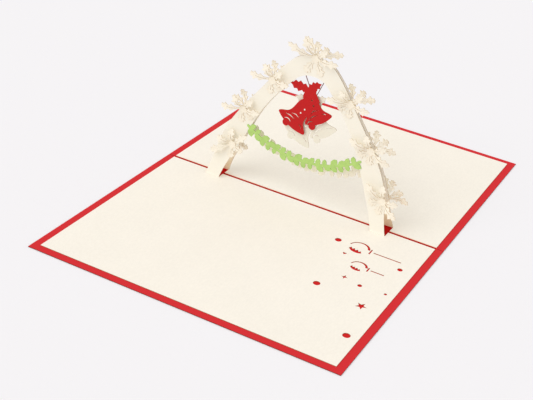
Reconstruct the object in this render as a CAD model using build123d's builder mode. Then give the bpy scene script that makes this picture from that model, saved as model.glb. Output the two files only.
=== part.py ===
from build123d import *
import os
from math import atan2, cos, degrees, hypot, radians, sin, tan

# A pop up card lying open: a folded cover, two liners with arch leaves folded up
# out of them, rosettes on both leaves, and bells and garlands hung in the arch.
# Millimetres, +Z up. The origin is the middle of the crease, on the underside.
# +X runs along the crease, +Y goes from the front half to the back half.

os.makedirs("parts", exist_ok=True)

# Cover
card_width = 200.0
card_depth = 300.0
cover_thickness = 0.4
score_width = 0.8
score_depth = 0.15

# Liners, glued flat on the cover
border = 5.0
crease_gap = 2.4
liner_thickness = 0.35

# Arch leaf, folded up from each liner
# It leans to the other leaf up to a bend, and stands close beside it above
arch_centre = -1.8
arch_span = 130.4
arch_height = 99.5
opening_height = 87.4
foot_width = 10.2
fold_distance = 6.8
bend_height = 30.0
bend_distance = 1.9
leaf_gap = 1.6
outer_curve_shares = ((0.885, 0.30), (0.532, 0.69), (0.245, 0.94))
inner_curve_shares = ((0.81, 0.30), (0.556, 0.65), (0.24, 0.92))
outer_foot_slope_share = 0.37
inner_foot_slope_share = 0.24

# Rosettes, seven on each leaf along its outer edge
# Each is a spray of petals bent away from the leaf, with two more lying flat on it
rosette_radius = 15.2
top_rosette_radius = 19.5
hub_radius = 2.6
hub_side_count = 8
petal_half_width = 3.2
petal_root_overlap = 0.4
rosette_thickness = 0.35
front_lean_angle = 15.0
back_lean_angle = 25.0
front_petal_angles = (-86.0, -40.0, 36.0, 86.0)
front_petal_shares = (1.0, 0.74, 0.72, 1.0)
back_petal_angles = (-72.0, -26.0, 30.0, 72.0)
back_petal_shares = (0.94, 0.78, 0.70, 0.94)
flat_petal_angles = (150.0, 210.0)
flat_petal_share = 0.60
left_place_shares = (0.23, 0.452, 0.70)
left_insets = (9.0, 1.5, 1.5)
right_place_shares = (0.18, 0.447, 0.70)
right_insets = (1.5, 1.5, 1.5)
top_inset = 0.5
middle_rosette = 1
petal_outline_shares = (
    (0.0, 0.24), (0.32, 0.38), (0.43, 0.84), (0.56, 0.46), (0.71, 1.0), (0.86, 0.48), (1.0, 0.0),
)

# Bells, one ornament in red and one in cream, each a pair under two holly leaves
ornament_thickness = 0.35
left_bell_mouth = 22.5
left_bell_height = 21.0
left_bell_place = (-9.0, -27.3)
left_bell_angle = -30.5
right_bell_mouth = 20.5
right_bell_height = 20.0
right_bell_place = (9.3, -20.1)
right_bell_angle = 32.0
bell_outline_shares = ((0.93, 0.07), (0.58, 0.25), (0.48, 0.40), (0.46, 0.62), (0.38, 0.86))
bell_lip_drop_share = 0.13
lip_rounding = 0.9
clapper_radius = 2.3
clapper_side_shares = (-0.12, -0.30)
clapper_drop_share = 0.12
slit_width = 0.7
lip_slit_shares = ((-0.70, 0.09), (-0.30, 0.15), (0.12, 0.16))
far_slit_shares = ((0.34, 0.15), (0.52, 0.13), (0.70, 0.09))
waist_slit_shares = ((-0.42, 0.24), (-0.10, 0.31), (0.30, 0.30))
clapper_slit_angles = (150.0, 95.0, 40.0)
spot_size = 1.5
spot_shares = ((0.05, 0.48), (0.10, 0.66))
spot_side_count = 4
holly_outline_shares = (
    (0.0, 0.30), (0.16, 0.84), (0.28, 0.56), (0.46, 1.0), (0.57, 0.58), (0.73, 0.78), (0.82, 0.32), (1.0, 0.0),
)
left_holly_length = 12.4
left_holly_half_width = 3.7
left_holly_place = (-0.8, -2.0)
left_holly_angle = 174.0
right_holly_length = 9.4
right_holly_half_width = 3.1
right_holly_place = (0.2, -1.3)
right_holly_angle = 33.5
neck_width = 11.6
neck_height = 9.2
neck_shares = (
    (0.0, 0.0), (0.45, -0.13), (0.45, -0.33), (0.56, -0.54), (0.75, -0.90),
    (0.30, -1.0), (-0.25, -1.0), (-0.19, -0.80), (-0.20, -0.44), (-0.26, -0.36),
)

# Threads that the two bell ornaments hang on, held between the leaves over the opening
thread_diameter = 0.5
thread_side_count = 8
thread_clearance = 0.05
thread_tail = 2.0
thread_grip = 2.8
holly_rise = 6.5
red_hang_offset = -1.8
red_hang_drop = 7.8
red_thread_reach = -4.9
cream_hang_offset = 2.0
cream_hang_drop = 16.6
cream_thread_reach = 6.3

# Garlands, a green one on the front leaf and a lower cream one on the back leaf
# Their ends are glued on the legs at a drop below the middle rosettes
garland_thickness = 0.35
green_left_drop = 9.5
green_right_drop = 9.0
green_sag = 12.3
cream_left_drop = 11.5
cream_right_drop = 15.5
cream_sag = 12.2
garland_grip = 1.8
stem_width = 1.6
sprig_count = 16
end_sprig_share = 0.4
sprig_length = 6.0
sprig_half_width = 2.2
sprig_angle = 43.0
sprig_turn_angles = (0.0, 24.0, -14.0, 34.0, 10.0)
sprig_size_shares = (1.0, 0.80, 0.92, 0.72, 0.86)
sprig_outline_shares = ((0.0, 0.30), (0.34, 1.0), (0.74, 0.82), (1.0, 0.0))
berry_radius = 1.4
berry_side_count = 6

# Shapes cut through the front liner, with the cover's colour showing in them
# Their places are shares of the half card's width and depth
ball_place_shares = ((0.563, -0.199), (0.646, -0.329))
ball_radii = (6.4, 5.2)
string_end_shares = (0.839, 0.810)
ball_cap_share = 1.18
ball_cap_length_share = 0.88
ball_cap_width = 0.9
string_width = 0.4
string_start_share = 1.5
rim_thin = 0.15
rim_thick = 1.1
rim_angles = (172.0, 100.0, 30.0)
drift_angles = (212.0, 258.0, 304.0)
drift_spike_shares = (0.42, 0.86, 0.50, 0.90, 0.52, 0.88, 0.62)
dot_place_shares = ((0.418, -0.195), (0.863, -0.249), (0.737, -0.453), (0.895, -0.447), (0.879, -0.781))
dot_radii = (2.1, 1.65, 1.4, 0.95, 2.3)
small_star_place_shares = (0.626, -0.434)
small_star_tip_count = 4
small_star_radius = 2.2
small_star_waist_share = 0.36
star_place_shares = (0.829, -0.577)
star_tip_count = 5
star_radius = 3.5
star_waist_share = 0.42
heart_place_shares = (0.515, -0.274)
heart_size = 2.6
heart_shares = ((0.0, -0.5), (0.5, 0.12), (0.34, 0.42), (0.0, 0.24), (-0.34, 0.42), (-0.5, 0.12))

# Sizes that follow from those above
half_card = (card_width / 2, card_depth / 2)
half_span = arch_span / 2
half_opening = half_span - foot_width
liner_width = card_width - 2 * border
liner_depth = (card_depth - crease_gap) / 2 - border
liner_middle = (crease_gap + liner_depth) / 2
notch_depth = fold_distance - crease_gap / 2
notch_middle = fold_distance - notch_depth / 2
foot_middles = (arch_centre - half_span + foot_width / 2, arch_centre + half_span - foot_width / 2)
low_length = hypot(fold_distance - bend_distance, bend_height)
low_lean = atan2(fold_distance - bend_distance, bend_height)
high_lean = atan2(bend_distance - leaf_gap / 2, arch_height - bend_height)


def leaf_planes(side):
    """Inner faces of the leaf before (-1) or behind (1) the crease, below and above its bend."""
    planes = []
    for lean, distance, height, length_below in (
        (low_lean, fold_distance, 0, 0), (high_lean, bend_distance, bend_height, low_length),
    ):
        up_leaf = Vector(0, -side * sin(lean), cos(lean))
        start = Vector(arch_centre, side * distance, cover_thickness + height) - up_leaf * length_below
        planes.append(Plane(origin=start, x_dir=(-side, 0, 0), z_dir=(0, side * cos(lean), sin(lean))))
    return planes


def scaled(shares, across, up):
    """Points of an outline from its shares of a width and a height."""
    return [(across * x, up * y) for x, y in shares]


def mirrored_outline(shares, length, half_width):
    """Closed outline of a leaf along +X: its upper edge and the same edge below."""
    upper = scaled(shares, length, half_width)
    lower = [(x, -y) for x, y in reversed(upper) if y > 0]
    return upper + lower


# Arch leaf outline, drawn flat
with BuildLine() as outer_line:
    Spline(
        (half_span, 0),
        *scaled(outer_curve_shares, half_span, arch_height),
        (0, arch_height),
        tangents=((-outer_foot_slope_share, 1), (-1, 0)),
    )
outer_curve = outer_line.edge()

with BuildLine() as inner_line:
    Spline(
        (half_opening, 0),
        *scaled(inner_curve_shares, half_opening, opening_height),
        (0, opening_height),
        tangents=((-inner_foot_slope_share, 1), (-1, 0)),
    )
inner_curve = inner_line.edge()

with BuildSketch() as arch_leaf:
    with BuildLine():
        add(outer_curve)
        add(inner_curve)
        Line((half_opening, 0), (half_span, 0))
        mirror(about=Plane.YZ)
    make_face()

# Its feet up to the bend, and the rest
with BuildSketch() as arch_feet:
    add(arch_leaf.sketch)
    with Locations((0, low_length / 2)):
        Rectangle(card_width, low_length, mode=Mode.INTERSECT)
arch_parts = (arch_feet.sketch, arch_leaf.sketch - arch_feet.sketch)

with BuildSketch() as heart:
    with BuildLine():
        Polyline(*scaled(heart_shares, heart_size, heart_size), close=True)
    make_face()

# Ornaments cut in the front liner, in the cover's own frame
with BuildSketch() as liner_cuts:
    for place, ball_radius, end_share in zip(
        scaled(ball_place_shares, *half_card), ball_radii, string_end_shares
    ):
        middle = Vector(*place)
        # Rim of the ball, thin at its left end and thick beside the cap
        thin_end, crown, thick_end = [Vector(1, 0).rotate(Axis.Z, angle) for angle in rim_angles]
        with BuildLine():
            outer_rim = ThreePointArc(
                middle + thin_end * ball_radius,
                middle + crown * ball_radius,
                middle + thick_end * ball_radius,
            )
            inner_rim = ThreePointArc(
                middle + thin_end * (ball_radius - rim_thin),
                middle + crown * (ball_radius - (rim_thin + rim_thick) / 2),
                middle + thick_end * (ball_radius - rim_thick),
            )
            Line(outer_rim @ 0, inner_rim @ 0)
            Line(outer_rim @ 1, inner_rim @ 1)
        make_face()
        # Snow drift in the ball's lower part, with a spiked upper edge
        drift_start, drift_foot, drift_end = [Vector(1, 0).rotate(Axis.Z, angle) for angle in drift_angles]
        spikes = []
        for spike, depth_share in enumerate(drift_spike_shares):
            across_share = (spike + 1) / (len(drift_spike_shares) + 1)
            on_chord = drift_start * (1 - across_share) + drift_end * across_share
            spikes.append(middle + Vector(on_chord.X, on_chord.Y * depth_share) * ball_radius)
        with BuildLine():
            ThreePointArc(
                middle + drift_start * ball_radius,
                middle + drift_foot * ball_radius,
                middle + drift_end * ball_radius,
            )
            Polyline(middle + drift_start * ball_radius, *spikes, middle + drift_end * ball_radius)
        make_face()
        # Cap and string
        with Locations((middle.X + ball_radius * ball_cap_share, middle.Y)):
            Rectangle(ball_cap_width, ball_radius * ball_cap_length_share)
        string_start = middle.X + ball_radius * string_start_share
        string_end = card_width / 2 * end_share
        with Locations(((string_start + string_end) / 2, middle.Y)):
            Rectangle(string_end - string_start, string_width)
    for place, radius in zip(scaled(dot_place_shares, *half_card), dot_radii):
        with Locations(place):
            Circle(radius)
    star_places = scaled((small_star_place_shares, star_place_shares), *half_card)
    for place, tip_count, radius, waist_share in (
        (star_places[0], small_star_tip_count, small_star_radius, small_star_waist_share),
        (star_places[1], star_tip_count, star_radius, star_waist_share),
    ):
        star_points = []
        for corner in range(2 * tip_count):
            reach = radius if corner % 2 == 0 else radius * waist_share
            star_points.append(Vector(place) + Vector(reach, 0).rotate(Axis.Z, corner * 180 / tip_count))
        with BuildLine():
            Polyline(*star_points, close=True)
        make_face()
    with Locations(*scaled((heart_place_shares,), *half_card)):
        add(heart.sketch)


halving_count = 30


def on_opening_edge(reached):
    """Point on the right edge of the opening where a test first holds, going up from the foot."""
    below, above = 0.0, 1.0
    for _ in range(halving_count):
        between = (below + above) / 2
        if reached(inner_curve.position_at(between)):
            above = between
        else:
            below = between
    return inner_curve.position_at(above)


# Cover, one sheet with a score line along the crease
with BuildPart() as cover:
    with BuildSketch(Plane.XY):
        Rectangle(card_width, card_depth)
    extrude(amount=cover_thickness)
    with BuildSketch(Plane.XY.offset(cover_thickness)):
        Rectangle(card_width, score_width)
    extrude(amount=-score_depth, mode=Mode.SUBTRACT)

# Front liner: flat sheet, cut-outs, and its arch leaf folded up
with BuildPart() as front_liner:
    with BuildSketch(Plane.XY.offset(cover_thickness)):
        with Locations((0, -liner_middle)):
            Rectangle(liner_width, liner_depth)
        with Locations(*[(foot_middle, -notch_middle) for foot_middle in foot_middles]):
            Rectangle(foot_width, notch_depth, mode=Mode.SUBTRACT)
        add(liner_cuts.sketch, mode=Mode.SUBTRACT)
    extrude(amount=liner_thickness)
    for leaf_plane, arch_part in zip(leaf_planes(-1), arch_parts):
        with BuildSketch(leaf_plane):
            add(arch_part)
        extrude(amount=liner_thickness)

# Back liner: the same sheet turned round, with no cut-outs
with BuildPart() as back_liner:
    with BuildSketch(Plane.XY.offset(cover_thickness)):
        with Locations((0, liner_middle)):
            Rectangle(liner_width, liner_depth)
        with Locations(*[(foot_middle, notch_middle) for foot_middle in foot_middles]):
            Rectangle(foot_width, notch_depth, mode=Mode.SUBTRACT)
    extrude(amount=liner_thickness)
    for leaf_plane, arch_part in zip(leaf_planes(1), arch_parts):
        with BuildSketch(leaf_plane):
            add(arch_part)
        extrude(amount=liner_thickness)


def rosette(leaf_face, seat, radius, facing, lean_angle, petal_angles, petal_shares):
    """Rosette on a leaf's face: a flat hub, petals bent away from the leaf and two flat on it."""
    centre = leaf_face.from_local_coords(Vector(*seat))
    outward = leaf_face.z_dir
    petals = [(angle, share, lean_angle) for angle, share in zip(petal_angles, petal_shares)]
    petals += [(angle, flat_petal_share, 0) for angle in flat_petal_angles]
    with BuildPart() as blossom:
        with BuildSketch(Plane(origin=centre, x_dir=leaf_face.x_dir, z_dir=outward)):
            RegularPolygon(hub_radius, hub_side_count)
        extrude(amount=rosette_thickness)
        for petal_angle, length_share, petal_lean in petals:
            angle = facing + radians(petal_angle)
            rise, spread = sin(radians(petal_lean)), cos(radians(petal_lean))
            radial = leaf_face.x_dir * cos(angle) + leaf_face.y_dir * sin(angle)
            root = centre + radial * (hub_radius - petal_root_overlap)
            petal_plane = Plane(
                origin=root, x_dir=radial * spread + outward * rise, z_dir=outward * spread - radial * rise
            )
            length = radius * length_share - hub_radius + petal_root_overlap
            with BuildSketch(petal_plane):
                with BuildLine():
                    Polyline(*mirrored_outline(petal_outline_shares, length, petal_half_width), close=True)
                make_face()
            extrude(amount=rosette_thickness)
    return blossom.part


def seats_along_edge(place_shares, insets):
    """Seats beside the right outer edge, each with the way that its spray faces."""
    seats = []
    for place_share, inset in zip(place_shares, insets):
        on_edge = outer_curve.position_at(place_share)
        along_edge = outer_curve.tangent_at(place_share)
        # Half way between straight up and straight out from the edge
        facing = (radians(90) + atan2(-along_edge.X, along_edge.Y)) / 2
        seats.append((on_edge.X - along_edge.Y * inset, on_edge.Y + along_edge.X * inset, facing))
    return seats


# Seats of the seven rosettes on a leaf, from the left foot over the top
left_seats = seats_along_edge(left_place_shares, left_insets)
right_seats = seats_along_edge(right_place_shares, right_insets)
rosette_seats = [(-x, y, radians(180) - facing) for x, y, facing in left_seats]
rosette_seats.append((0, arch_height - top_inset, radians(90)))
rosette_seats += right_seats[::-1]
front_faces = [plane.offset(liner_thickness) for plane in leaf_planes(-1)]
back_faces = [plane.offset(liner_thickness) for plane in leaf_planes(1)]

rosettes = {}
for number, (seat_x, seat_y, facing) in enumerate(rosette_seats, start=1):
    radius = top_rosette_radius if seat_x == 0 else rosette_radius
    above_bend = seat_y > low_length
    rosettes[f"front_rosette_{number}"] = rosette(
        front_faces[above_bend], (seat_x, seat_y), radius, facing, front_lean_angle, front_petal_angles,
        front_petal_shares,
    )
    rosettes[f"back_rosette_{number}"] = rosette(
        back_faces[above_bend], (-seat_x, seat_y), radius, radians(180) - facing, back_lean_angle,
        back_petal_angles, back_petal_shares,
    )


def bell_face(mouth, height, clapper_side_share):
    """Bell with its mouth's middle at the origin, its lip curved out and a clapper below."""
    half_mouth = mouth / 2
    with BuildSketch() as bell:
        with BuildLine():
            ThreePointArc((-half_mouth, 0), (0, -height * bell_lip_drop_share), (half_mouth, 0))
            Spline((half_mouth, 0), *scaled(bell_outline_shares, half_mouth, height), (0, height))
            Spline((-half_mouth, 0), *scaled(bell_outline_shares, -half_mouth, height), (0, height))
        make_face()
        lip_ends = bell.vertices().sort_by(Axis.X)
        fillet([lip_ends[0], lip_ends[-1]], radius=lip_rounding)
        with Locations((mouth * clapper_side_share, -height * (bell_lip_drop_share + clapper_drop_share) / 2)):
            Circle(clapper_radius)
    return bell.sketch


def bell_cuts(mouth, height, clapper_side_share):
    """Slits along a bell's lip, waist and clapper, and the spots above them."""
    clapper_middle = Vector(
        mouth * clapper_side_share, -height * (bell_lip_drop_share + clapper_drop_share) / 2
    )
    slit_reach = Vector(clapper_radius + slit_width, 0)
    start, middle, end = [clapper_middle + slit_reach.rotate(Axis.Z, angle) for angle in clapper_slit_angles]
    with BuildSketch() as cuts:
        # Round the clapper, the sliver between two arcs that share their ends
        with BuildLine():
            ThreePointArc(start, middle, end)
            ThreePointArc(start, middle + Vector(0, slit_width), end)
        make_face()
        # Along the lip and the waist, slivers that are nearly straight
        for shares in (lip_slit_shares, far_slit_shares, waist_slit_shares):
            start, middle, end = scaled(shares, mouth / 2, height)
            with BuildLine():
                Polyline(start, middle, end, Vector(middle) + Vector(0, slit_width), close=True)
            make_face()
        for place in scaled(spot_shares, mouth / 2, height):
            with Locations(place):
                RegularPolygon(spot_size / 2, spot_side_count)
    return cuts.sketch


with BuildSketch() as bells_outline:
    for place, angle, mouth, height, clapper_side_share in (
        (left_bell_place, left_bell_angle, left_bell_mouth, left_bell_height, clapper_side_shares[0]),
        (right_bell_place, right_bell_angle, right_bell_mouth, right_bell_height, clapper_side_shares[1]),
    ):
        with Locations(Location((*place, 0), (0, 0, angle))):
            add(bell_face(mouth, height, clapper_side_share))
    for place, angle, length, half_width in (
        (left_holly_place, left_holly_angle, left_holly_length, left_holly_half_width),
        (right_holly_place, right_holly_angle, right_holly_length, right_holly_half_width),
    ):
        with BuildSketch(mode=Mode.PRIVATE) as holly:
            with BuildLine():
                Polyline(*mirrored_outline(holly_outline_shares, length, half_width), close=True)
            make_face()
        with Locations(Location((*place, 0), (0, 0, angle))):
            add(holly.sketch)
    with BuildLine():
        Polyline(*scaled(neck_shares, neck_width, neck_height), close=True)
    make_face()
    for place, angle, mouth, height, clapper_side_share in (
        (left_bell_place, left_bell_angle, left_bell_mouth, left_bell_height, clapper_side_shares[0]),
        (right_bell_place, right_bell_angle, right_bell_mouth, right_bell_height, clapper_side_shares[1]),
    ):
        with Locations(Location((*place, 0), (0, 0, angle))):
            add(bell_cuts(mouth, height, clapper_side_share), mode=Mode.SUBTRACT)


def leaf_depth(height):
    """Distance from the plane of the crease to a leaf's inner face, at a height above its bend."""
    return bend_distance - (height - bend_height) * tan(high_lean)


def hanging(hang_offset, hang_drop, thread_reach):
    """Place of an ornament, place of its thread's top, and the thread's distance from the crease's plane."""
    hang_height = opening_height - hang_drop
    top_offset = hang_offset + thread_reach
    top_height = on_opening_edge(lambda point: point.X <= abs(top_offset)).Y + thread_grip
    # The thread clears the leaf at its top, and the ornament before it clears the leaf at its highest holly
    by_thread = leaf_depth(top_height) - thread_clearance
    by_ornament = leaf_depth(hang_height + holly_rise) - ornament_thickness - 2 * thread_clearance
    depth = min(by_thread, by_ornament) - thread_diameter / 2
    return (hang_offset, hang_height), (top_offset, top_height), depth


def ornament_plane(hang, depth):
    """Upright plane just outside the thread, with its origin at the hanging point."""
    hanging_point = (arch_centre + hang[0], depth, cover_thickness + hang[1])
    return Plane(origin=hanging_point, x_dir=(1, 0, 0), z_dir=(0, -1, 0))


def thread(hang, top, depth):
    """Straight thread from between the leaves down behind an ornament's neck."""
    held = Vector(arch_centre + top[0], depth, cover_thickness + top[1])
    knot = Vector(arch_centre + hang[0], depth, cover_thickness + hang[1])
    fall = (knot - held).normalized()
    with BuildPart() as strand:
        with BuildSketch(Plane(origin=held, z_dir=fall)):
            RegularPolygon(thread_diameter / 2, thread_side_count)
        extrude(amount=(knot - held).length + thread_tail)
    return strand.part


# The red ornament hangs in front of its thread, and the cream one behind its own
red_hang, red_top, red_depth = hanging(red_hang_offset, red_hang_drop, red_thread_reach)
cream_hang, cream_top, cream_depth = hanging(cream_hang_offset, cream_hang_drop, cream_thread_reach)
beside_thread = thread_diameter / 2 + thread_clearance

with BuildPart() as red_bells:
    with BuildSketch(ornament_plane(red_hang, -red_depth - beside_thread)):
        add(bells_outline.sketch)
    extrude(amount=ornament_thickness)

with BuildPart() as cream_bells:
    with BuildSketch(ornament_plane(cream_hang, cream_depth + beside_thread)):
        add(bells_outline.sketch)
    extrude(amount=-ornament_thickness)

red_thread = thread(red_hang, red_top, -red_depth)
cream_thread = thread(cream_hang, cream_top, cream_depth)


def garland_end(side, height):
    """End of a garland on the leg at one side, a little past the opening's edge."""
    return side * (on_opening_edge(lambda point: point.Y >= height).X + garland_grip), height


def garland(leaf_face, low_x_drop, high_x_drop, sag):
    """Leafy garland cut from one sheet, its ends glued on the two legs."""
    seat_height = right_seats[middle_rosette][1]
    middle_height = seat_height - (low_x_drop + high_x_drop) / 2
    with BuildSketch(mode=Mode.PRIVATE) as sprig:
        with BuildLine():
            Polyline(*mirrored_outline(sprig_outline_shares, sprig_length, sprig_half_width), close=True)
        make_face()
    with BuildLine() as swag:
        ThreePointArc(
            garland_end(-1, seat_height - low_x_drop),
            (0, middle_height - sag),
            garland_end(1, seat_height - high_x_drop),
        )
    stem = swag.edge()
    with BuildPart() as leafy:
        with BuildSketch(leaf_face):
            SlotArc(stem, stem_width)
            for number in range(sprig_count):
                share = (number + end_sprig_share) / (sprig_count + end_sprig_share)
                place = stem.position_at(share)
                along = stem.tangent_at(share)
                heading = degrees(atan2(along.Y, along.X))
                with Locations((place.X, place.Y)):
                    RegularPolygon(berry_radius, berry_side_count)
                for side in (1, -1):
                    pick = (2 * number + (side > 0)) % len(sprig_size_shares)
                    turn = side * (sprig_angle + sprig_turn_angles[pick])
                    with Locations(Location((place.X, place.Y, 0), (0, 0, heading + turn))):
                        add(sprig.sketch.scale(sprig_size_shares[pick]))
        extrude(amount=garland_thickness)
    return leafy.part


# The back leaf's own +X points the other way, so its right end comes first
green_garland = garland(front_faces[1], green_left_drop, green_right_drop, green_sag)
cream_garland = garland(back_faces[1], cream_right_drop, cream_left_drop, cream_sag)

# Every piece in its own file
pieces = {
    "cover": cover.part,
    "front_liner": front_liner.part,
    "back_liner": back_liner.part,
    **rosettes,
    "red_bells": red_bells.part,
    "cream_bells": cream_bells.part,
    "red_thread": red_thread,
    "cream_thread": cream_thread,
    "green_garland": green_garland,
    "cream_garland": cream_garland,
}
for name, piece in pieces.items():
    piece.label = name
    export_step(piece, f"parts/{name}.step")
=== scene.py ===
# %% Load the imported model
import math
import random

import bmesh
import bpy
from mathutils import Matrix, Vector


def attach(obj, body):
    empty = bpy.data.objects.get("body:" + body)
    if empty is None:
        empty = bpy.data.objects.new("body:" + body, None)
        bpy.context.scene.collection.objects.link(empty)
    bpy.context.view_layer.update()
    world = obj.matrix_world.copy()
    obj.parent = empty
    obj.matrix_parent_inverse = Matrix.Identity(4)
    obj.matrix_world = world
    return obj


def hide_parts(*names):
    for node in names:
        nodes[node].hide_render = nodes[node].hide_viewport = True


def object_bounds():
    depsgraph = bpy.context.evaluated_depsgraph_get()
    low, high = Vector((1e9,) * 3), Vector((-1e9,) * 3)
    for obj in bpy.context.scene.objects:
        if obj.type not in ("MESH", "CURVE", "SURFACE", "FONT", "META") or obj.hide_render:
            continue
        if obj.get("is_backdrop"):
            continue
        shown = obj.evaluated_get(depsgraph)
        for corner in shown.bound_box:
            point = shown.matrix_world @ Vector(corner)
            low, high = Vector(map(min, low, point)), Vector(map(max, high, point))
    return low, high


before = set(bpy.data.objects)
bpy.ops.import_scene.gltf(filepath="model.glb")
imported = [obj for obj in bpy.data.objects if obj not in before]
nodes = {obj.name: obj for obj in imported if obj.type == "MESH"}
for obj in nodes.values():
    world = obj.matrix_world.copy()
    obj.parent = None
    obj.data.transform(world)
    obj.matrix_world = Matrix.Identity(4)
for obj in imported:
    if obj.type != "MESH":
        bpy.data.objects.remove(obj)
cad_low, cad_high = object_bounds()


def rounded(values, digits=4):
    """Numbers short enough to print."""
    return [round(value, digits) for value in values]


print("CAD box", rounded((*cad_low, *cad_high)))

# %% [markdown]
# A pop up card is flat sheet all over, so its looks rest on three things: the
# colour of the card, the brown line that a laser leaves on each cut edge, and
# the way the little leaves are bent. The cover, the back liner, the bells, the
# garlands and the threads have their true outline in the model, so they stay
# and get materials. The front liner's outline is true as well, but some of its
# cut-outs need mending, so a copy of it is cut and takes its place. The leafy
# rosettes are flat there, and are remade here with curled, slit leaves.
#
# The camera comes first. It was found by fitting a pinhole camera to the edges
# of the card, so it is given by its direction, its distance and its roll.

# %% Camera
photo_width_px = 533
focal_length_px = 1134.6
sensor_width_mm = 36.0
camera_azimuth = math.radians(24.88)
camera_elevation = math.radians(29.02)
camera_roll = math.radians(7.09)
camera_distance = 0.7311
camera_aim = Vector((-0.0174, -0.0126, 0.0))


def towards(azimuth, elevation):
    """Direction from the card to a thing at that azimuth, counted from the front, and elevation."""
    return Vector((
        math.sin(azimuth) * math.cos(elevation),
        -math.cos(azimuth) * math.cos(elevation),
        math.sin(elevation),
    ))


towards_camera = towards(camera_azimuth, camera_elevation)
camera_data = bpy.data.cameras.new("photo_camera")
camera_data.sensor_width = sensor_width_mm
camera_data.lens = focal_length_px / photo_width_px * sensor_width_mm
camera = bpy.data.objects.new("photo_camera", camera_data)
bpy.context.scene.collection.objects.link(camera)
standing = Matrix.Translation(camera_aim + towards_camera * camera_distance)
looking = (-towards_camera).to_track_quat("-Z", "Y").to_matrix().to_4x4()
camera.matrix_world = standing @ looking @ Matrix.Rotation(camera_roll, 4, "Z")
bpy.context.scene.camera = camera
bpy.context.scene.view_settings.view_transform = "Standard"
print("lens", round(camera_data.lens, 2), "mm")

# %% [markdown]
# The photograph has the even light of a white studio: a bright surround fills
# nearly every shadow, and one broad lamp from the front left leaves a faint one
# behind the arch. The surround and the lamp together light a flat white sheet
# just up to white, so that each colour renders about as it is written.
#
# The surround is the world's background. The camera doesn't see it: past the
# floor's far edge it sees a backdrop as pale as the floor, which lights
# nothing. A Light Path node tells the two kinds of ray apart.

# %% Surround and backdrop
white = (1.0, 1.0, 1.0, 1.0)
surround_strength = 0.775
backdrop_colour = (0.922, 0.905, 0.913, 1.0)


def math_node(tree, operation, *values):
    """Math node whose inputs are numbers or the sockets given, and its result."""
    node = tree.nodes.new("ShaderNodeMath")
    node.operation = operation
    for place, value in enumerate(values):
        if isinstance(value, (int, float)):
            node.inputs[place].default_value = value
        else:
            tree.links.new(value, node.inputs[place])
    return node.outputs[0]


world = bpy.data.worlds.new("studio")
world.use_nodes = True
studio = world.node_tree
surround = studio.nodes["Background"]
surround.inputs["Color"].default_value = white
surround.inputs["Strength"].default_value = surround_strength
backdrop = studio.nodes.new("ShaderNodeBackground")
backdrop.inputs["Color"].default_value = backdrop_colour
rays = studio.nodes.new("ShaderNodeLightPath")
seen = rays.outputs["Is Camera Ray"]
for kind in ("Is Glossy Ray", "Is Transmission Ray"):
    seen = math_node(studio, "MAXIMUM", seen, rays.outputs[kind])
lit_or_seen = studio.nodes.new("ShaderNodeMixShader")
studio.links.new(seen, lit_or_seen.inputs["Fac"])
studio.links.new(surround.outputs["Background"], lit_or_seen.inputs[1])
studio.links.new(backdrop.outputs["Background"], lit_or_seen.inputs[2])
studio.links.new(lit_or_seen.outputs["Shader"], studio.nodes["World Output"].inputs["Surface"])
bpy.context.scene.world = world
print("world of", len(studio.nodes), "nodes, surround at", surround_strength)

# %% [markdown]
# The lamp is a sun, which lights the whole card alike, and its wide angle gives
# the shadow behind the arch a soft edge.

# %% Lamp
lamp_strength = 0.95
lamp_softness = math.radians(50)
lamp_azimuth = math.radians(-28)
lamp_elevation = math.radians(46)

lamp_data = bpy.data.lights.new("broad_lamp", "SUN")
lamp_data.energy = lamp_strength
lamp_data.angle = lamp_softness
lamp = bpy.data.objects.new("broad_lamp", lamp_data)
bpy.context.scene.collection.objects.link(lamp)
lamp.rotation_euler = (-towards(lamp_azimuth, lamp_elevation)).to_track_quat("-Z", "Y").to_euler()
print("lamp at", lamp_strength)

# %% [markdown]
# The floor is a pale sheet, far wider than the view. It lies a tenth of a
# millimetre under the card, so that the two share no plane, and it is marked as
# stage, because it isn't part of the card.

# %% Floor
floor_size = 12.0
floor_drop = 0.0001
floor_colour = (0.930, 0.911, 0.925, 1.0)

bpy.ops.object.select_all(action="DESELECT")
bpy.ops.mesh.primitive_plane_add(size=floor_size, location=(0, 0, -floor_drop))
floor = bpy.context.object
floor.name = "studio_floor"
floor_material = bpy.data.materials.new("studio_floor")
floor_material.use_nodes = True
floor_shader = floor_material.node_tree.nodes["Principled BSDF"]
floor_shader.inputs["Base Color"].default_value = floor_colour
floor_shader.inputs["Roughness"].default_value = 1.0
floor_shader.inputs["Specular IOR Level"].default_value = 0.0
floor.data.materials.append(floor_material)
floor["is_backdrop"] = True
print("floor", floor_size, "m wide")

# %% [markdown]
# Card is pressed fibre. Close up it has a fine grain that catches the light,
# and over a hand's width its tone drifts a little. Both are noise on the
# object's own coordinates, so the pattern is cut by the outline as a printed
# sheet would be, and stays put when the camera moves. One node group makes it
# for every colour of card.

# %% Card grain, shared by all the card colours
usual_mottle = 0.05
usual_grain = 0.10
usual_grain_scale = 950.0
mottle_scale = 26.0
mottle_detail = 2.0
grain_detail = 5.0
fibre_stretch = (1.0, 0.45, 1.0)
noise_middle = 0.5
grain_roughness_low = 0.72
grain_roughness_high = 0.95


def new_group(name, inputs, outputs):
    """Shader node group with named sockets, and its input and output nodes."""
    group = bpy.data.node_groups.new(name, "ShaderNodeTree")
    for socket_name, kind, value in inputs:
        socket = group.interface.new_socket(socket_name, in_out="INPUT", socket_type="NodeSocket" + kind)
        socket.default_value = value
    for socket_name, kind in outputs:
        group.interface.new_socket(socket_name, in_out="OUTPUT", socket_type="NodeSocket" + kind)
    return group, group.nodes.new("NodeGroupInput"), group.nodes.new("NodeGroupOutput")


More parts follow.
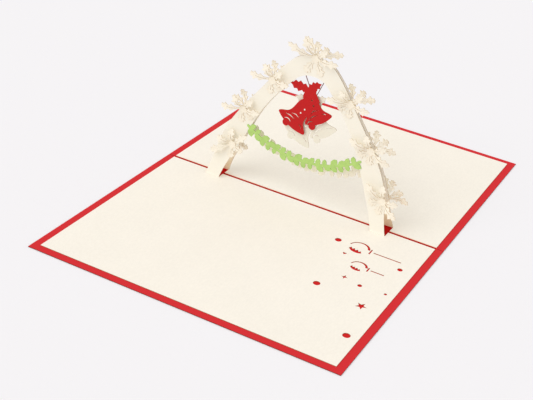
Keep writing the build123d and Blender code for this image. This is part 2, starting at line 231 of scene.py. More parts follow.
def noise_node(tree, coordinates, size, detail):
    """Noise texture on the coordinates given, and its grey result."""
    node = tree.nodes.new("ShaderNodeTexNoise")
    node.inputs["Detail"].default_value = detail
    tree.links.new(coordinates, node.inputs["Vector"])
    if isinstance(size, (int, float)):
        node.inputs["Scale"].default_value = size
    else:
        tree.links.new(size, node.inputs["Scale"])
    return node.outputs["Fac"]


def tone_swing(tree, noise, amount):
    """Noise that swings about zero, by the amount given."""
    return math_node(tree, "MULTIPLY", math_node(tree, "SUBTRACT", noise, noise_middle), amount)


card_grain, group_in, group_out = new_group(
    "Card Grain",
    (("Colour", "Color", white), ("Mottle", "Float", usual_mottle), ("Grain", "Float", usual_grain),
     ("Grain Scale", "Float", usual_grain_scale)),
    (("Colour", "Color"), ("Roughness", "Float"), ("Height", "Float")),
)
place_on_card = card_grain.nodes.new("ShaderNodeTexCoord")
stretch = card_grain.nodes.new("ShaderNodeMapping")
stretch.inputs["Scale"].default_value = fibre_stretch
card_grain.links.new(place_on_card.outputs["Object"], stretch.inputs["Vector"])
fibres = noise_node(card_grain, stretch.outputs["Vector"], group_in.outputs["Grain Scale"], grain_detail)
clouds = noise_node(card_grain, place_on_card.outputs["Object"], mottle_scale, mottle_detail)
fibre_tone = tone_swing(card_grain, fibres, group_in.outputs["Grain"])
cloud_tone = tone_swing(card_grain, clouds, group_in.outputs["Mottle"])
tone = math_node(card_grain, "ADD", math_node(card_grain, "ADD", fibre_tone, cloud_tone), 1.0)
toned = card_grain.nodes.new("ShaderNodeHueSaturation")
card_grain.links.new(group_in.outputs["Colour"], toned.inputs["Color"])
card_grain.links.new(tone, toned.inputs["Value"])
roughness = card_grain.nodes.new("ShaderNodeMapRange")
roughness.inputs["To Min"].default_value = grain_roughness_low
roughness.inputs["To Max"].default_value = grain_roughness_high
card_grain.links.new(fibres, roughness.inputs["Value"])
card_grain.links.new(toned.outputs["Color"], group_out.inputs["Colour"])
card_grain.links.new(roughness.outputs["Result"], group_out.inputs["Roughness"])
card_grain.links.new(fibres, group_out.inputs["Height"])
print(card_grain.name, "has", len(card_grain.nodes), "nodes")

# %% [markdown]
# A laser scorches what it cuts, so each edge of a cut sheet has a thin brown or
# darker line. A sheet's two faces look along one direction and its edges look
# any other way, so the group compares the surface's normal with the directions
# of the faces and colours all the rest. A liner has two such directions: its
# flat part looks up, and its arch leaf looks forward or back.

# %% Scorched edge, shared by all the cut sheets
scorched_brown = (0.3, 0.15, 0.05, 1.0)
usual_scorch = 0.9
face_agreement = 0.93


def dot_product(tree, one, other):
    """How far one vector runs along another, from their sockets."""
    node = tree.nodes.new("ShaderNodeVectorMath")
    node.operation = "DOT_PRODUCT"
    tree.links.new(one, node.inputs[0])
    tree.links.new(other, node.inputs[1])
    return node.outputs["Value"]


def mixed_colour(tree, amount, under, over):
    """The colour under, with the given amount of the colour over it."""
    mix = tree.nodes.new("ShaderNodeMix")
    mix.data_type = "RGBA"
    tree.links.new(amount, mix.inputs["Factor"])
    tree.links.new(under, mix.inputs["A"])
    tree.links.new(over, mix.inputs["B"])
    return mix.outputs["Result"]


cut_edge, group_in, group_out = new_group(
    "Cut Edge",
    (("Colour", "Color", white), ("Edge Colour", "Color", scorched_brown),
     ("Scorch", "Float", usual_scorch), ("Face Direction", "Vector", (0, 0, 1)),
     ("Other Face Direction", "Vector", (0, 0, 1))),
    (("Colour", "Color"),),
)
surface = cut_edge.nodes.new("ShaderNodeTexCoord")
agreements = []
for socket_name in ("Face Direction", "Other Face Direction"):
    along_face = dot_product(cut_edge, surface.outputs["Normal"], group_in.outputs[socket_name])
    agreements.append(math_node(cut_edge, "ABSOLUTE", along_face))
on_edge = math_node(cut_edge, "LESS_THAN", math_node(cut_edge, "MAXIMUM", *agreements), face_agreement)
amount = math_node(cut_edge, "MULTIPLY", on_edge, group_in.outputs["Scorch"])
scorched = mixed_colour(cut_edge, amount, group_in.outputs["Colour"], group_in.outputs["Edge Colour"])
cut_edge.links.new(scorched, group_out.inputs["Colour"])
print(cut_edge.name, "has", len(cut_edge.nodes), "nodes")

# %% [markdown]
# Card also changes tone in places, and most of these bands are painted shade:
# the cover is darkened along the crease, in the notches and under the liners, and
# the arch leaves get a painted warm shade on their inner faces just above their
# folds and painted shade on their outer faces. Other bands scorch the walls of
# cuts or give the border its red back. Each such place is a band, so one group
# fades a tint in by the distance from the middle of the object along an axis, on
# the faces that look one way.

# %% Painted shade or stain in a band, shared by the cover and the liners
facing_share = 0.5

shade_or_stain_band, group_in, group_out = new_group(
    "Shade Or Stain Band",
    (("Colour", "Color", white), ("Stain Colour", "Color", scorched_brown), ("Stain", "Float", 0.0),
     ("Side", "Vector", (0, 0, 1)), ("Axis", "Vector", (0, 0, 1)),
     ("Clear At", "Float", 1.0), ("Full At", "Float", 0.0)),
    (("Colour", "Color"),),
)
surface = shade_or_stain_band.nodes.new("ShaderNodeTexCoord")
towards_side = dot_product(shade_or_stain_band, surface.outputs["Normal"], group_in.outputs["Side"])
along_axis = dot_product(shade_or_stain_band, surface.outputs["Object"], group_in.outputs["Axis"])
on_side = math_node(shade_or_stain_band, "GREATER_THAN", towards_side, facing_share)
fade = shade_or_stain_band.nodes.new("ShaderNodeMapRange")
fade.interpolation_type = "SMOOTHSTEP"
shade_or_stain_band.links.new(math_node(shade_or_stain_band, "ABSOLUTE", along_axis), fade.inputs["Value"])
shade_or_stain_band.links.new(group_in.outputs["Clear At"], fade.inputs["From Min"])
shade_or_stain_band.links.new(group_in.outputs["Full At"], fade.inputs["From Max"])
faded = math_node(shade_or_stain_band, "MULTIPLY", fade.outputs["Result"], on_side)
amount = math_node(shade_or_stain_band, "MULTIPLY", faded, group_in.outputs["Stain"])
stained = mixed_colour(shade_or_stain_band, amount, group_in.outputs["Colour"], group_in.outputs["Stain Colour"])
shade_or_stain_band.links.new(stained, group_out.inputs["Colour"])
print(shade_or_stain_band.name, "has", len(shade_or_stain_band.nodes), "nodes")

# %% [markdown]
# Each colour of card is one material built from the groups: grain first, then
# any bands of painted shade or stain, then the scorched edge over it. The shader
# stays in the material, where its low, constant gloss is set on its own socket.

# %% Card material
card_gloss = 0.22
bump_strength = 0.22
bump_depth = 0.00006


def placed_group(tree, group, values):
    """One of the groups in a material's tree, with its own values."""
    node = tree.nodes.new("ShaderNodeGroup")
    node.node_tree = group
    for socket_name, value in values.items():
        node.inputs[socket_name].default_value = value
    return node


def relief(tree, height):
    """Normal of a faint relief with the heights of the socket given."""
    bump = tree.nodes.new("ShaderNodeBump")
    bump.inputs["Strength"].default_value = bump_strength
    bump.inputs["Distance"].default_value = bump_depth
    tree.links.new(height, bump.inputs["Height"])
    return bump.outputs["Normal"]


def card_material(name, colour, edge_colour, faces, scorch=usual_scorch, mottle=usual_mottle,
                  grain=usual_grain, grain_scale=usual_grain_scale, shade_and_stain_bands=(), gloss=card_gloss):
    """Matt card of one colour, tinted in the bands given with painted shade or stains, with scorched edges
    where no face looks.
    """
    material = bpy.data.materials.new(name)
    material.use_nodes = True
    tree = material.node_tree
    shader = tree.nodes["Principled BSDF"]
    shader.inputs["Specular IOR Level"].default_value = gloss
    card = placed_group(tree, card_grain, {
        "Colour": (*colour, 1.0), "Mottle": mottle, "Grain": grain, "Grain Scale": grain_scale,
    })
    edge = placed_group(tree, cut_edge, {
        "Edge Colour": (*edge_colour, 1.0), "Scorch": scorch,
        "Face Direction": faces[0], "Other Face Direction": faces[-1],
    })
    coloured = card.outputs["Colour"]
    for values in shade_and_stain_bands:
        band = placed_group(tree, shade_or_stain_band, values)
        tree.links.new(coloured, band.inputs["Colour"])
        coloured = band.outputs["Colour"]
    tree.links.new(coloured, edge.inputs["Colour"])
    tree.links.new(edge.outputs["Colour"], shader.inputs["Base Color"])
    tree.links.new(card.outputs["Roughness"], shader.inputs["Roughness"])
    tree.links.new(relief(tree, card.outputs["Height"]), shader.inputs["Normal"])
    return material


print("card gloss", card_gloss, "and relief", bump_depth, "m")

# %% [markdown]
# The edge group and the band group of painted shade and stains need to know
# which way each sheet looks. The flat parts look up. The arch leaves lean, so
# their directions are read from the liners of the model: of all the faces that
# lean as a leaf does, the largest one tells. Below its bend a leaf leans more
# than above it, so each part has a direction of its own, and the lowest rosettes
# need the lower one.

# %% Directions of the sheets
up = Vector((0, 0, 1))
along_crease = Vector((1, 0, 0))
across_crease = Vector((0, 1, 0))
# How directly a leaf's face looks away from the arch, from the least to the most
below_bend_range = (0.9, 0.99)
above_bend_range = (0.99, 0.99995)


def leaf_normal(side, below_bend=False):
    """Direction that an arch leaf's outer face looks, above or below its bend, from its liner's mesh."""
    wanted = -1 if side == "front" else 1
    low, high = below_bend_range if below_bend else above_bend_range
    leaning = [face for face in nodes[f"{side}_liner"].data.polygons if low < wanted * face.normal.y < high]
    return max(leaning, key=lambda face: face.area).normal.copy()


front_normal = leaf_normal("front")
back_normal = leaf_normal("back")
print("front leaf looks along", rounded(front_normal), "and below its bend",
      rounded(leaf_normal("front", below_bend=True)))

# %% [markdown]
# Each colour is set so that the render matches the photograph in even light:
# one red for the cover and a deeper one for the bells, a cream for the liners,
# deeper creams for the rosettes and the cream garland, a cream for the cream
# bells that is darker still with painted shade, as they hang behind the red ones,
# and a fresh green. A scorched colour is what the laser leaves of a card's own.

# %% Colours
cream = (0.972, 0.912, 0.806)
rosette_cream = (0.930, 0.860, 0.725)
# Painted shade: the cream bells' cream, darkened because they hang behind the red bells
bell_cream_in_shade = (0.850, 0.803, 0.680)
# Painted shade for the arch leaves' outer faces, and painted warm shade for their inner faces
shaded_cream = (0.913, 0.870, 0.758)
warm_shade_cream = (0.960, 0.870, 0.600)
singed_cream = (0.640, 0.490, 0.290)
scorched_cream = (0.380, 0.215, 0.085)
red = (0.688, 0.031, 0.036)
bell_red = (0.530, 0.013, 0.014)
# Painted shade for the cover: its red under the liners, in the notches and along the crease
shaded_red = (0.645, 0.018, 0.018)
crease_shade_red = (0.540, 0.003, 0.002)
notch_shadow_red = (0.450, 0.002, 0.001)
# Laser scorch of the cover's cut edge, made darker with painted shadow under its edges
scorched_and_shadowed_red = (0.110, 0.035, 0.018)
green = (0.450, 0.650, 0.190)
scorched_green = (0.170, 0.330, 0.050)
print("cream, red and green", cream, red, green)

# %% [markdown]
# The cover's bands lie over each other, and most are painted shade. Under the
# liners its red is darkened with painted shade, which shows in the cut-outs. In
# the notches at the arch's feet the painted shade is deeper still, and along
# the crease it is painted darker too, a little paler again than in the notches.
# Outside the liners' edges the border gets its own red back.
#
# A liner has three bands. Its leaf's inner face gets a painted warm shade above
# the fold, and its leaf's outer face gets painted shade, a little darker than the
# flat sheet. The walls of the flat sheet's cuts that look the leaf's way are
# scorched here, because the edge group takes them for the leaf's face.

# %% Painted shade and stains
liner_half_width = 0.0950
liner_far_edge = 0.1450
fade_under_liner = 0.0004
fade_past_liner = 0.0002
# Each fade is the distance where a band of painted shade or stain is clear, and the one where it is full
side_fade = (liner_half_width + fade_past_liner, liner_half_width - fade_under_liner)
far_fade = (liner_far_edge + fade_past_liner, liner_far_edge - fade_under_liner)
notch_fade = (0.0100, 0.0070)
crease_fade = (0.0018, 0.0013)
# The painted warm shade is full at the fold and gone 20 mm up; the painted shade starts just above the fold
warm_shade_fade = (0.0200, 0.0020)
shade_fade = (0.0010, 0.0030)
wall_fade = (0.00080, 0.00076)
notch_share = 0.9
shade_share = 0.85


def shade_or_stain(colour, share, axis, fade, side=up):
    """Values of the band group's sockets: one band of painted shade or stain, on the faces that look one
    way.
    """
    clear_at, full_at = fade
    return {"Stain Colour": (*colour, 1.0), "Stain": share, "Side": side, "Axis": axis,
            "Clear At": clear_at, "Full At": full_at}


# Painted shade on the cover, in bands that lie over each other; the last two give the border its red back
cover_shade_bands = (
    shade_or_stain(shaded_red, 1.0, along_crease, side_fade),
    shade_or_stain(notch_shadow_red, notch_share, across_crease, notch_fade),
    shade_or_stain(crease_shade_red, 1.0, across_crease, crease_fade),
    shade_or_stain(red, 1.0, along_crease, side_fade[::-1]),
    shade_or_stain(red, 1.0, across_crease, far_fade[::-1]),
)


def liner_shade_and_scorch(leaf_direction):
    """Painted warm shade, painted shade and scorch of a liner whose leaf's outer face looks in the
    direction given.
    """
    return (
        shade_or_stain(warm_shade_cream, 1.0, up, warm_shade_fade, -leaf_direction),
        shade_or_stain(shaded_cream, shade_share, up, shade_fade, leaf_direction),
        shade_or_stain(scorched_cream, usual_scorch, up, wall_fade, leaf_direction),
    )


print(len(cover_shade_bands), "stains on the cover,", len(liner_shade_and_scorch(front_normal)), "on each liner")

# %% [markdown]
# Now each sheet gets its own card. The cover has the least gloss, because gloss
# lays the white of the surround over its red. The red bells and the green
# garland vary more in tone than the creams do, so their grain is stronger.

# %% Card materials
cover_gloss = 0.08

# The cover's edge colour is scorch together with painted shadow under its edges
cover_card = card_material("red_cover_card", red, scorched_and_shadowed_red, (up,), mottle=0.10, grain=0.22,
                           shade_and_stain_bands=cover_shade_bands, gloss=cover_gloss)
front_card = card_material("cream_front_liner", cream, scorched_cream, (up, front_normal),
                           shade_and_stain_bands=liner_shade_and_scorch(front_normal))
back_card = card_material("cream_back_liner", cream, scorched_cream, (up, back_normal),
                          shade_and_stain_bands=liner_shade_and_scorch(back_normal))
red_bell_card = card_material("red_bell_card", bell_red, scorched_cream, (across_crease,),
                              scorch=0.75, grain=0.2)
cream_bell_card = card_material("cream_bell_card", bell_cream_in_shade, scorched_cream, (across_crease,))
green_card = card_material("green_garland_card", green, scorched_green, (front_normal,),
                           scorch=0.8, mottle=0.45, grain=0.35, grain_scale=500.0)
cream_garland_card = card_material("cream_garland_card", rosette_cream, scorched_cream, (back_normal,),
                                   scorch=0.8)


def dress(node, material):
    """Gives a node of the model its material."""
    for holder in nodes[node].material_slots:
        holder.material = material


dresses = {
    "cover": cover_card,
    "front_liner": front_card,
    "back_liner": back_card,
    "red_bells": red_bell_card,
    "cream_bells": cream_bell_card,
    "green_garland": green_card,
    "cream_garland": cream_garland_card,
}
for node, material in dresses.items():
    dress(node, material)
print("dressed", ", ".join(dresses))

# %% [markdown]
# The photograph shows one more round hole in the front liner than the model
# has, and wider rims and strings on its two baubles. They are cut in a copy of
# the liner's own mesh, so that the cover shows through them as it does through
# the others. The Boolean modifier cuts it: a solid cutter is set through the
# sheet for each cut, and taken away from it.

# %% Helpers to cut a sheet
cutter_height = 0.003


def only_selected(piece):
    """Leaves this piece as the only one selected, and active."""
    bpy.ops.object.select_all(action="DESELECT")
    piece.select_set(True)
    bpy.context.view_layer.objects.active = piece


def disc_cutter(place, radius, height, sides):
    """Upright cylinder that stands through the sheet."""
    bpy.ops.object.select_all(action="DESELECT")
    bpy.ops.mesh.primitive_cylinder_add(vertices=sides, radius=radius, depth=height, location=place)
    return bpy.context.object


def cut_away(piece, cutter):
    """Takes the cutter's shape out of a piece, and then the cutter out of the scene."""
    only_selected(piece)
    cut = piece.modifiers.new("cut", "BOOLEAN")
    cut.operation = "DIFFERENCE"
    cut.solver = "EXACT"
    cut.object = cutter
    bpy.ops.object.modifier_apply(modifier=cut.name)
    bpy.data.objects.remove(cutter)


print("cutters", cutter_height, "m high")

# %% [markdown]
# A bauble's rim is a crescent: a disc, less a smaller disc that stands off its
# centre, and cut off by a straight line below. Its string is a straight bar
# that starts beside the bauble's cap.

# %% Cutters for the rims and strings
rim_radius_share = 1.06
rim_width = 0.0011
rim_offset = Vector((0.0004, 0.0, 0.0))
rim_low_share = 0.15
rim_sides = 96
string_start_share = 1.5
string_width = 0.0009


def rim_cutter(place, ball_radius):
    """Crescent along the upper half of a bauble, thin at its left end and thick beside the cap."""
    radius = ball_radius * rim_radius_share
    rim = disc_cutter(place, radius, cutter_height, rim_sides)
    cut_away(rim, disc_cutter(place - rim_offset, radius - rim_width, 2 * cutter_height, rim_sides))
    bpy.ops.object.mode_set(mode="EDIT")
    bpy.ops.mesh.select_all(action="SELECT")
    low_end = place + Vector((0, radius * rim_low_share, 0))
    bpy.ops.mesh.bisect(plane_co=low_end, plane_no=(0, 1, 0), use_fill=True, clear_inner=True)
    bpy.ops.object.mode_set(mode="OBJECT")
    return rim


def string_cutter(place, ball_radius, end):
    """Straight bar from beside a bauble's cap to the string's end."""
    start = place.x + ball_radius * string_start_share
    bpy.ops.object.select_all(action="DESELECT")
    bpy.ops.mesh.primitive_cube_add(
        size=1.0, location=((start + end) / 2, place.y, 0), scale=(end - start, string_width, cutter_height)
    )
    return bpy.context.object


print("rims up to", rim_width + rim_offset.x, "m wide, strings", string_width, "m")

# %% [markdown]
# The model's mesh has its corners doubled where faces meet, so the copy is
# welded before the cuts. The model's own normals no longer fit the welded
# corners. Every face of the sheet is flat, so they are cleared, and each face
# is shaded flat.

# %% Cuts in the front liner
weld_distance = 0.000001
hole_place = Vector((0.0523, -0.0811, 0.0))
hole_radius = 0.0022
hole_sides = 32
ball_places = (Vector((0.0563, -0.02985, 0.0)), Vector((0.0646, -0.04935, 0.0)))
ball_radii = (0.0064, 0.0052)
string_ends = (0.0839, 0.0810)

liner_sheet = bpy.data.objects.new("front_liner_sheet", nodes["front_liner"].data.copy())
bpy.context.scene.collection.objects.link(liner_sheet)
only_selected(liner_sheet)
bpy.ops.object.mode_set(mode="EDIT")
bpy.ops.mesh.select_all(action="SELECT")
bpy.ops.mesh.remove_doubles(threshold=weld_distance)
bpy.ops.object.mode_set(mode="OBJECT")
faces_before = len(liner_sheet.data.polygons)
cut_away(liner_sheet, disc_cutter(hole_place, hole_radius, cutter_height, hole_sides))
for place, ball_radius, string_end in zip(ball_places, ball_radii, string_ends):
    cut_away(liner_sheet, rim_cutter(place, ball_radius))
    cut_away(liner_sheet, string_cutter(place, ball_radius, string_end))
only_selected(liner_sheet)
bpy.ops.mesh.customdata_custom_splitnormals_clear()
bpy.ops.object.shade_flat()
liner_sheet.data.materials.clear()
liner_sheet.data.materials.append(front_card)
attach(liner_sheet, "root")
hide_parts("front_liner")
print("front liner", faces_before, "faces, with the cuts", len(liner_sheet.data.polygons))

# %% [markdown]
# The bells hang on cotton thread. Cotton is two strands twisted together, which
# shows as slanting dark and light bands. A wave texture tilted across the
# thread gives the bands, and its height gives them a little relief.

# %% Thread material
thread_colour = (0.100, 0.015, 0.008)
thread_light = (0.260, 0.060, 0.030)
thread_roughness = 0.9
twist_scale = 700.0
twist_tilt = (0.0, math.radians(35), 0.0)

thread_material = bpy.data.materials.new("twisted_thread")
thread_material.use_nodes = True
tree = thread_material.node_tree
place_on_thread = tree.nodes.new("ShaderNodeTexCoord")
tilt = tree.nodes.new("ShaderNodeMapping")
tilt.inputs["Rotation"].default_value = twist_tilt
twist = tree.nodes.new("ShaderNodeTexWave")
twist.bands_direction = "Z"
twist.inputs["Scale"].default_value = twist_scale
strands = tree.nodes.new("ShaderNodeValToRGB")
strands.color_ramp.elements[0].color = (*thread_colour, 1.0)
strands.color_ramp.elements[1].color = (*thread_light, 1.0)
shader = tree.nodes["Principled BSDF"]
shader.inputs["Roughness"].default_value = thread_roughness
tree.links.new(place_on_thread.outputs["Object"], tilt.inputs["Vector"])
tree.links.new(tilt.outputs["Vector"], twist.inputs["Vector"])
tree.links.new(twist.outputs["Fac"], strands.inputs["Fac"])
tree.links.new(strands.outputs["Color"], shader.inputs["Base Color"])
tree.links.new(relief(tree, twist.outputs["Fac"]), shader.inputs["Normal"])
threads = ("red_thread", "cream_thread")
for node in threads:
    dress(node, thread_material)
print("dressed", ", ".join(threads))

# %% [markdown]
# A rosette leaf is cut like a holly leaf, with points along both sides and a
# slit for its midrib, and is then curled with the fingers. It is modelled once.
# A grid is the right start, because each of its columns is a line across the
# leaf. Its middle row of faces will be the slit, and the rows on each side of
# it the two halves of the leaf.

# %% Grid for the rosette leaf
leaf_length = 0.0152
leaf_half_width = 0.0029
slit_half_width = 0.00012
# Place along the leaf, half width, and how far the point leans to the tip, as shares
leaf_column_shares = (
    (0.00, 0.26, 0.00), (0.14, 0.24, 0.00), (0.29, 0.36, 0.00), (0.37, 0.84, 0.07), (0.44, 0.66, 0.05),
    (0.51, 0.42, 0.00), (0.58, 0.48, 0.02), (0.65, 1.00, 0.09), (0.72, 0.78, 0.06), (0.80, 0.44, 0.00),
    (0.86, 0.56, 0.07), (0.93, 0.26, 0.01), (1.00, 0.04, 0.00),
)
inner_row_share = 0.55
curl_share = 0.15
columns = len(leaf_column_shares)
rows = 6

bpy.ops.object.select_all(action="DESELECT")
bpy.ops.mesh.primitive_grid_add(x_subdivisions=columns - 1, y_subdivisions=rows - 1, size=1.0)
leaf = bpy.context.object
leaf.name = "rosette_leaf"
print("grid of", columns, "columns and", rows, "rows,", len(leaf.data.vertices), "vertices")

# %% [markdown]
# Each point of the grid is moved to its place on the leaf: its column to its
# place along it, drawn in or out to give the pointed outline, and lifted for
# the curl. The new places lie past the grid, so that no finished point is
# picked up again, and the whole leaf is brought back at the end, where it also
# gets its real length.

# %% Outline and curl of the leaf
grid_end = 0.5
row_step = 1.0 / (rows - 1)
near_share = 0.25
clear_of_grid = 2.0


def select_vertices(piece, wanted):
    """In edit mode, selects just the vertices whose place passes the test."""
    mesh = bmesh.from_edit_mesh(piece.data)
    for vertex in mesh.verts:
        vertex.select = wanted(vertex.co)
    mesh.select_flush_mode()
    bmesh.update_edit_mesh(piece.data)


bpy.ops.object.mode_set(mode="EDIT")
bpy.ops.mesh.select_mode(type="VERT")
for column, (along, width, lean) in enumerate(leaf_column_shares):
    from_x = column / (columns - 1) - grid_end
    to_x = clear_of_grid + along
    half = width * leaf_half_width
    lift = curl_share * leaf_length * math.sin(math.pi * along)
    for row in range(rows):
        from_y = row * row_step - grid_end
        side = 1 if from_y > 0 else -1
        # 0 beside the slit, 1 halfway out and 2 on the outline
        rank = int(abs(from_y) / row_step)
        reach = (min(slit_half_width, half), half * inner_row_share, half)[rank]
        forward = lean * (0.0, inner_row_share, 1.0)[rank]
        select_vertices(
            leaf,
            lambda co: abs(co.x - from_x) < near_share / columns and abs(co.y - from_y) < near_share / rows,
        )
        bpy.ops.transform.translate(value=(to_x + forward - from_x, side * reach - from_y, lift))
select_vertices(leaf, lambda co: True)
bpy.ops.transform.translate(value=(-clear_of_grid, 0, 0))
bpy.ops.transform.resize(value=(leaf_length, 1, 1), center_override=(0, 0, 0))
bpy.ops.object.mode_set(mode="OBJECT")
print("leaf", rounded((1000 * v for v in leaf.dimensions), 2), "mm")

# %% [markdown]
# The slit is the middle row of faces, taken away between two columns. A
# Solidify modifier will give the sheet its thickness later, and puts the faces
# of its rim in a material of their own, so the scorched edge needs no mask
# here. The leaf has two materials for that, and there is a second pattern
# without the curl, for the leaves that lie on the arch.

# %% Slit, materials and the flat pattern
slit_from_share = 0.10
slit_to_share = 0.66
face_index, edge_index = 0, 1

leaf_face_card = card_material("cream_rosette_card", rosette_cream, scorched_cream, (up,), scorch=0.0)
leaf_edge_card = card_material("scorched_rosette_edge", singed_cream, singed_cream, (up,), scorch=0.0)

bpy.ops.object.mode_set(mode="EDIT")
bpy.ops.mesh.select_mode(type="FACE")
mesh = bmesh.from_edit_mesh(leaf.data)
for face in mesh.faces:
    middle = face.calc_center_median()
    in_slit = slit_from_share * leaf_length < middle.x < slit_to_share * leaf_length
    face.select = in_slit and abs(middle.y) < slit_half_width / 2
bmesh.update_edit_mesh(leaf.data)
bpy.ops.mesh.delete(type="FACE")
bpy.ops.mesh.select_all(action="SELECT")
bpy.ops.mesh.normals_make_consistent(inside=False)
bpy.ops.object.mode_set(mode="OBJECT")
leaf.data.materials.append(leaf_face_card)
leaf.data.materials.append(leaf_edge_card)
flat_leaf = leaf.copy()
flat_leaf.data = leaf.data.copy()
bpy.context.scene.collection.objects.link(flat_leaf)
for vertex in flat_leaf.data.vertices:
    vertex.co.z = 0
print("leaf", len(leaf.data.polygons), "faces with its slit")

# %% [markdown]
# The hub is the small plate that the leaves of a rosette are cut from. Seen
# close, its middle is a cut circle with a raised rim, so it is a disc whose top
# is inset and pressed in.

# %% Rosette hub, modelled once
sheet_thickness = 0.00035
hub_radius = 0.0026
hub_sides = 24
ring_share = 0.35
ring_depth = 0.00012

bpy.ops.object.select_all(action="DESELECT")
bpy.ops.mesh.primitive_cylinder_add(
    vertices=hub_sides, radius=hub_radius, depth=sheet_thickness, location=(0, 0, sheet_thickness / 2)
)
hub = bpy.context.object
hub.name = "rosette_hub"
bpy.ops.object.mode_set(mode="EDIT")
bpy.ops.mesh.select_mode(type="FACE")
mesh = bmesh.from_edit_mesh(hub.data)
for face in mesh.faces:
    face.select = face.normal.z > face_agreement
bmesh.update_edit_mesh(hub.data)
bpy.ops.mesh.inset(thickness=hub_radius * ring_share)
bpy.ops.transform.translate(value=(0, 0, -ring_depth))
bpy.ops.object.mode_set(mode="OBJECT")
bpy.ops.object.transform_apply(location=True, rotation=True, scale=True)
hub.data.materials.append(leaf_face_card)
hub.data.materials.append(leaf_edge_card)
for face in hub.data.polygons:
    face.material_index = face_index if abs(face.normal.z) > face_agreement else edge_index
print("hub", len(hub.data.polygons), "faces")

# %% [markdown]
# Each rosette is a hub and copies of the leaf: a spray that is bent away from
# the arch, by different amounts as fingers leave it, and two leaves that lie
# flat on the arch. Fingers have also pushed some sprays towards upright, and
# the top rosette is larger, with shorter middle leaves.

# %% Leaves of a rosette
rosette_count = 7
top_number = 4
top_leaf_length = 0.0195
spray_lean = {"front": 15.0, "back": 25.0}
spray_angles = {"front": (-86, -40, 36, 86), "back": (-72, -26, 30, 72)}
spray_shares = {"front": (1.0, 0.74, 0.72, 1.0), "back": (0.94, 0.78, 0.70, 0.94)}
top_angles = {"front": (-84, -42, 28, 66), "back": (-64, -22, 44, 74)}
top_shares = {"front": (0.86, 0.58, 0.80, 1.0), "back": (0.90, 0.52, 0.46, 0.84)}
turned_up = {2: 24.0, 3: 30.0, 5: 24.0, 6: 8.0}
flat_angles = (150, 210)
flat_share = 0.60
turn_play = 5.0
lean_play = 8.0
finger_seed = 11
finger = random.Random(finger_seed)


def leaves_of(side, number, upright_turn):
    """Angle, share of the length, and lean of each leaf. The sign of upright_turn turns them up."""
    angles, shares = (top_angles, top_shares) if number == top_number else (spray_angles, spray_shares)
    turn = math.copysign(turned_up.get(number, 0.0), upright_turn)
    spray = [
        (turn + angle + finger.uniform(-turn_play, turn_play), share,
         spray_lean[side] + finger.uniform(-lean_play, lean_play))
        for angle, share in zip(angles[side], shares[side])
    ]
    return spray + [(angle, flat_share, 0.0) for angle in flat_angles]


print("sprays of", len(spray_angles["front"]), "leaves, with", len(flat_angles), "flat ones")

# %% [markdown]
# A rosette goes where the model's rosette is. The two outer leaves of a spray
# are the longest and match each other, so their tips are the two points of the
# node that are furthest apart: the spray faces square to the line between them,
# and the seat lies a little behind that line's middle.

# %% Place of a rosette
low_numbers = (1, 7)
root_overlap = 0.0004
# The leaves start inside the hub's rim
root_radius = hub_radius - root_overlap


def spray_place(side, number, size):
    """Frame on the arch leaf's face: +X the way the rosette's spray faces, +Z away from the leaf."""
    outward = leaf_normal(side, below_bend=number in low_numbers)
    points = {tuple(rounded(vertex.co, 6)) for vertex in nodes[f"{side}_rosette_{number}"].data.vertices}
    points = [Vector(point) for point in points]
    on_leaf = min(point.dot(outward) for point in points)
    flattened = [point - outward * point.dot(outward) for point in points]
    one, other = max(
        ((a, b) for place, a in enumerate(flattened) for b in flattened[:place]),
        key=lambda pair: (pair[0] - pair[1]).length_squared,
    )
    facing = outward.cross(one - other).normalized()
    facing = facing if facing.z > 0 else -facing
    reach = size * leaf_length * spray_shares[side][0] - root_radius
    reach = root_radius + reach * math.cos(math.radians(spray_lean[side]))
    behind = reach * math.cos(math.radians(spray_angles[side][-1]))
    seat = (one + other) / 2 - facing * behind + outward * on_leaf
    basis = Matrix((facing, outward.cross(facing), outward)).transposed().to_4x4()
    return Matrix.Translation(seat) @ basis


print("first front rosette sits at", rounded(spray_place("front", 1, 1.0).translation))

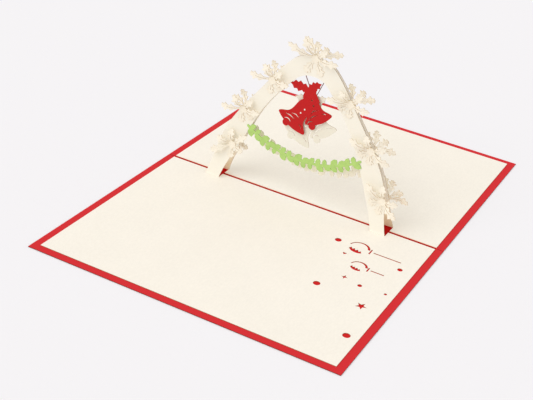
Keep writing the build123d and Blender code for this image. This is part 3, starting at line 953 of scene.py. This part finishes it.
# %% [markdown]
# Each copy is turned about the hub, tilted at its root and drawn to its length
# by one matrix, which is put in its mesh. The copies get their thickness and
# are joined into one piece, which replaces the node.

# %% Rosettes


def copied(original, placing):
    """Copy of a piece with its own mesh, moved by a matrix that is put in the mesh."""
    twin = original.copy()
    twin.data = original.data.copy()
    bpy.context.scene.collection.objects.link(twin)
    twin.data.transform(placing)
    return twin


def thicken(part):
    """Gives a leaf the thickness of the sheet, with its rim in the edge's material."""
    only_selected(part)
    thickness = part.modifiers.new("thickness", "SOLIDIFY")
    thickness.thickness = sheet_thickness
    thickness.offset = 1.0
    thickness.material_offset_rim = edge_index
    bpy.ops.object.modifier_apply(modifier=thickness.name)


def make_rosette(side, number):
    """One rosette in place of the node of that name."""
    size = top_leaf_length / leaf_length if number == top_number else 1.0
    place = spray_place(side, number, size)
    hub_part = copied(hub, place)
    leaf_parts = []
    for angle, share, lean in leaves_of(side, number, place.col[1].z):
        stretched = (size * leaf_length * share - root_radius) / leaf_length
        placing = (
            place @ Matrix.Rotation(math.radians(angle), 4, "Z")
            @ Matrix.Translation((root_radius, 0, 0)) @ Matrix.Rotation(-math.radians(lean), 4, "Y")
            @ Matrix.Diagonal((stretched, 1.0, 1.0, 1.0))
        )
        leaf_parts.append(copied(leaf if lean else flat_leaf, placing))
    for part in leaf_parts:
        thicken(part)
    only_selected(hub_part)
    for part in leaf_parts:
        part.select_set(True)
    bpy.ops.object.join()
    piece = bpy.context.object
    piece.name = f"{side}_rosette_leaves_{number}"
    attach(piece, "root")
    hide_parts(f"{side}_rosette_{number}")
    return piece


rosettes = [
    make_rosette(side, number)
    for side in ("front", "back")
    for number in range(1, rosette_count + 1)
]
for pattern in (leaf, flat_leaf, hub):
    bpy.data.objects.remove(pattern)
print(len(rosettes), "rosettes,", sum(len(piece.data.polygons) for piece in rosettes), "faces")

# %% [markdown]
# Last, the box of what is shown is printed, as the box of the model was at the start.

# %% Sizes and the end of the script
bpy.context.view_layer.update()
shown_low, shown_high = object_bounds()
print("shown box", rounded((*shown_low, *shown_high)))
